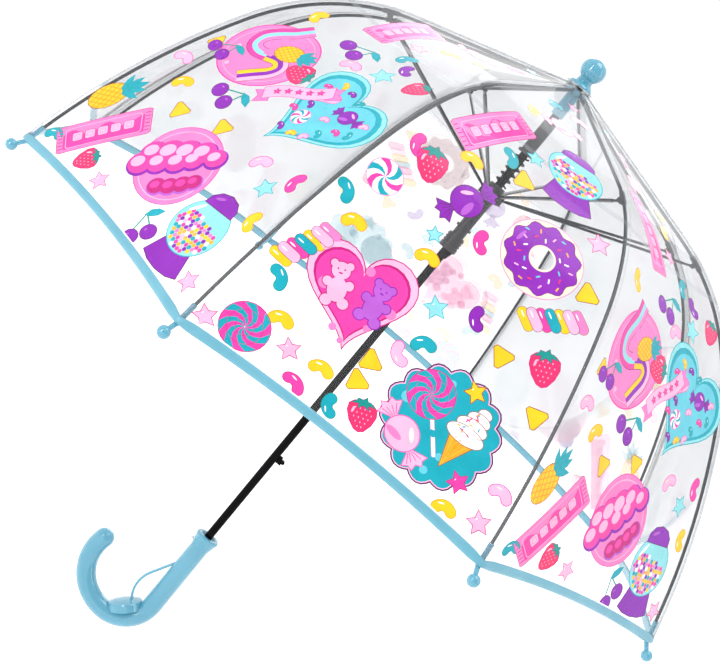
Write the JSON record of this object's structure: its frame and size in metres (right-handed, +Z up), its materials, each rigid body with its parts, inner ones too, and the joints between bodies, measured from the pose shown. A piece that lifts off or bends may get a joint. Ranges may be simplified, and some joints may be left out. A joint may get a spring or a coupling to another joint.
{
  "type": "children's dome umbrella",
  "caption": "Open child's dome umbrella with a clear printed canopy, round rib tips, a sliding runner, folding ribs and stretchers, and a crook handle.",
  "frame": {"origin": "on the shaft's axis at the middle of the hand grip", "axes": "+Z up the shaft to the ferrule, the crook's bend towards -X, mid-gore of a canopy gore along +Y"},
  "size_m": [0.703, 0.703, 0.7071],
  "materials": {
    "blue_plastic": "glossy light blue plastic",
    "black_steel": "gloss black enamel on steel",
    "black_plastic": "satin black plastic",
    "grey_plastic": "matt dark grey plastic",
    "clear_film": "clear flexible film",
    "wire_steel": "bare steel wire",
    "bright_metal": "polished"
  },
  "bodies": {
    "frame": {"crook_handle": "blue_plastic", "handle_collar": "blue_plastic", "collar_stud": "bright_metal", "handle_cap": "blue_plastic", "handle_strap": "blue_plastic", "shaft": "black_steel", "cushion_spring": "black_steel", "spring_stop": "grey_plastic", "crown_notch": "blue_plastic", "crown_wire": "wire_steel", "top_washer": "clear_film", "ferrule": "blue_plastic"},
    "runner": {"runner": "black_plastic", "runner_grip_ring": "black_plastic"},
    "open_catch": {"open_catch": "black_steel"},
    "closed_catch": {"closed_catch": "black_steel"},
    "rib_1": {"rib_1": "black_steel", "rib_bracket_1": "black_steel", "rib_tip_1": "blue_plastic", "canopy_panel_1": "clear_film"},
    "stretcher_1": {"stretcher_1": "black_steel"},
    "rib_2": {"rib_2": "black_steel", "rib_bracket_2": "black_steel", "rib_tip_2": "blue_plastic", "canopy_panel_2": "clear_film"},
    "stretcher_2": {"stretcher_2": "black_steel"},
    "rib_3": {"rib_3": "black_steel", "rib_bracket_3": "black_steel", "rib_tip_3": "blue_plastic", "canopy_panel_3": "clear_film"},
    "stretcher_3": {"stretcher_3": "black_steel"},
    "rib_4": {"rib_4": "black_steel", "rib_bracket_4": "black_steel", "rib_tip_4": "blue_plastic", "canopy_panel_4": "clear_film"},
    "stretcher_4": {"stretcher_4": "black_steel"},
    "rib_5": {"rib_5": "black_steel", "rib_bracket_5": "black_steel", "rib_tip_5": "blue_plastic", "canopy_panel_5": "clear_film"},
    "stretcher_5": {"stretcher_5": "black_steel"},
    "rib_6": {"rib_6": "black_steel", "rib_bracket_6": "black_steel", "rib_tip_6": "blue_plastic", "canopy_panel_6": "clear_film"},
    "stretcher_6": {"stretcher_6": "black_steel"},
    "rib_7": {"rib_7": "black_steel", "rib_bracket_7": "black_steel", "rib_tip_7": "blue_plastic", "canopy_panel_7": "clear_film"},
    "stretcher_7": {"stretcher_7": "black_steel"},
    "rib_8": {"rib_8": "black_steel", "rib_bracket_8": "black_steel", "rib_tip_8": "blue_plastic", "canopy_panel_8": "clear_film"},
    "stretcher_8": {"stretcher_8": "black_steel"}
  },
  "joints": [
    {"name": "runner_slide", "type": "slide", "parent": "frame", "child": "runner", "axis": [0, 0, -1], "range_m": [0, 0.2129]},
    {"name": "open_catch_press", "type": "slide", "parent": "frame", "child": "open_catch", "axis": [-1, 0, 0], "range_m": [0, 0.003], "stiffness_N_per_m": 400},
    {"name": "closed_catch_press", "type": "slide", "parent": "frame", "child": "closed_catch", "axis": [-1, 0, 0], "range_m": [0, 0.003], "stiffness_N_per_m": 400},
    {"name": "rib_fold_1", "type": "hinge", "parent": "frame", "child": "rib_1", "pos_m": [-0.00647, -0.00268, 0.57506], "axis": [0.3827, -0.9239, 0], "range_deg": [0, 45.1], "deforming": ["canopy_panel_1"]},
    {"name": "stretcher_turn_1", "type": "hinge", "parent": "rib_1", "child": "stretcher_1", "pos_m": [-0.17092, -0.0708, 0.51866], "axis": [-0.3827, 0.9239, 0], "range_deg": [0, 88.63]},
    {"name": "rib_fold_2", "type": "hinge", "parent": "frame", "child": "rib_2", "pos_m": [-0.00268, -0.00647, 0.57506], "axis": [0.9239, -0.3827, 0], "range_deg": [0, 45.1], "deforming": ["canopy_panel_2"]},
    {"name": "stretcher_turn_2", "type": "hinge", "parent": "rib_2", "child": "stretcher_2", "pos_m": [-0.0708, -0.17092, 0.51866], "axis": [-0.9239, 0.3827, 0], "range_deg": [0, 88.63]},
    {"name": "rib_fold_3", "type": "hinge", "parent": "frame", "child": "rib_3", "pos_m": [0.00268, -0.00647, 0.57506], "axis": [0.9239, 0.3827, 0], "range_deg": [0, 45.1], "deforming": ["canopy_panel_3"]},
    {"name": "stretcher_turn_3", "type": "hinge", "parent": "rib_3", "child": "stretcher_3", "pos_m": [0.0708, -0.17092, 0.51866], "axis": [-0.9239, -0.3827, 0], "range_deg": [0, 88.63]},
    {"name": "rib_fold_4", "type": "hinge", "parent": "frame", "child": "rib_4", "pos_m": [0.00647, -0.00268, 0.57506], "axis": [0.3827, 0.9239, 0], "range_deg": [0, 45.1], "deforming": ["canopy_panel_4"]},
    {"name": "stretcher_turn_4", "type": "hinge", "parent": "rib_4", "child": "stretcher_4", "pos_m": [0.17092, -0.0708, 0.51866], "axis": [-0.3827, -0.9239, 0], "range_deg": [0, 88.63]},
    {"name": "rib_fold_5", "type": "hinge", "parent": "frame", "child": "rib_5", "pos_m": [0.00647, 0.00268, 0.57506], "axis": [-0.3827, 0.9239, 0], "range_deg": [0, 45.1], "deforming": ["canopy_panel_5"]},
    {"name": "stretcher_turn_5", "type": "hinge", "parent": "rib_5", "child": "stretcher_5", "pos_m": [0.17092, 0.0708, 0.51866], "axis": [0.3827, -0.9239, 0], "range_deg": [0, 88.63]},
    {"name": "rib_fold_6", "type": "hinge", "parent": "frame", "child": "rib_6", "pos_m": [0.00268, 0.00647, 0.57506], "axis": [-0.9239, 0.3827, 0], "range_deg": [0, 45.1], "deforming": ["canopy_panel_6"]},
    {"name": "stretcher_turn_6", "type": "hinge", "parent": "rib_6", "child": "stretcher_6", "pos_m": [0.0708, 0.17092, 0.51866], "axis": [0.9239, -0.3827, 0], "range_deg": [0, 88.63]},
    {"name": "rib_fold_7", "type": "hinge", "parent": "frame", "child": "rib_7", "pos_m": [-0.00268, 0.00647, 0.57506], "axis": [-0.9239, -0.3827, 0], "range_deg": [0, 45.1], "deforming": ["canopy_panel_7"]},
    {"name": "stretcher_turn_7", "type": "hinge", "parent": "rib_7", "child": "stretcher_7", "pos_m": [-0.0708, 0.17092, 0.51866], "axis": [0.9239, 0.3827, 0], "range_deg": [0, 88.63]},
    {"name": "rib_fold_8", "type": "hinge", "parent": "frame", "child": "rib_8", "pos_m": [-0.00647, 0.00268, 0.57506], "axis": [-0.3827, -0.9239, 0], "range_deg": [0, 45.1], "deforming": ["canopy_panel_8"]},
    {"name": "stretcher_turn_8", "type": "hinge", "parent": "rib_8", "child": "stretcher_8", "pos_m": [-0.17092, 0.0708, 0.51866], "axis": [0.3827, 0.9239, 0], "range_deg": [0, 88.63]}
  ],
  "couplings": [
    {"joint": "rib_fold_1", "follows": "runner_slide", "rad_per_m": 3.689},
    {"joint": "stretcher_turn_1", "follows": "runner_slide", "rad_per_m": 7.2574},
    {"joint": "rib_fold_2", "follows": "runner_slide", "rad_per_m": 3.689},
    {"joint": "stretcher_turn_2", "follows": "runner_slide", "rad_per_m": 7.2574},
    {"joint": "rib_fold_3", "follows": "runner_slide", "rad_per_m": 3.689},
    {"joint": "stretcher_turn_3", "follows": "runner_slide", "rad_per_m": 7.2574},
    {"joint": "rib_fold_4", "follows": "runner_slide", "rad_per_m": 3.689},
    {"joint": "stretcher_turn_4", "follows": "runner_slide", "rad_per_m": 7.2574},
    {"joint": "rib_fold_5", "follows": "runner_slide", "rad_per_m": 3.689},
    {"joint": "stretcher_turn_5", "follows": "runner_slide", "rad_per_m": 7.2574},
    {"joint": "rib_fold_6", "follows": "runner_slide", "rad_per_m": 3.689},
    {"joint": "stretcher_turn_6", "follows": "runner_slide", "rad_per_m": 7.2574},
    {"joint": "rib_fold_7", "follows": "runner_slide", "rad_per_m": 3.689},
    {"joint": "stretcher_turn_7", "follows": "runner_slide", "rad_per_m": 7.2574},
    {"joint": "rib_fold_8", "follows": "runner_slide", "rad_per_m": 3.689},
    {"joint": "stretcher_turn_8", "follows": "runner_slide", "rad_per_m": 7.2574}
  ]
}
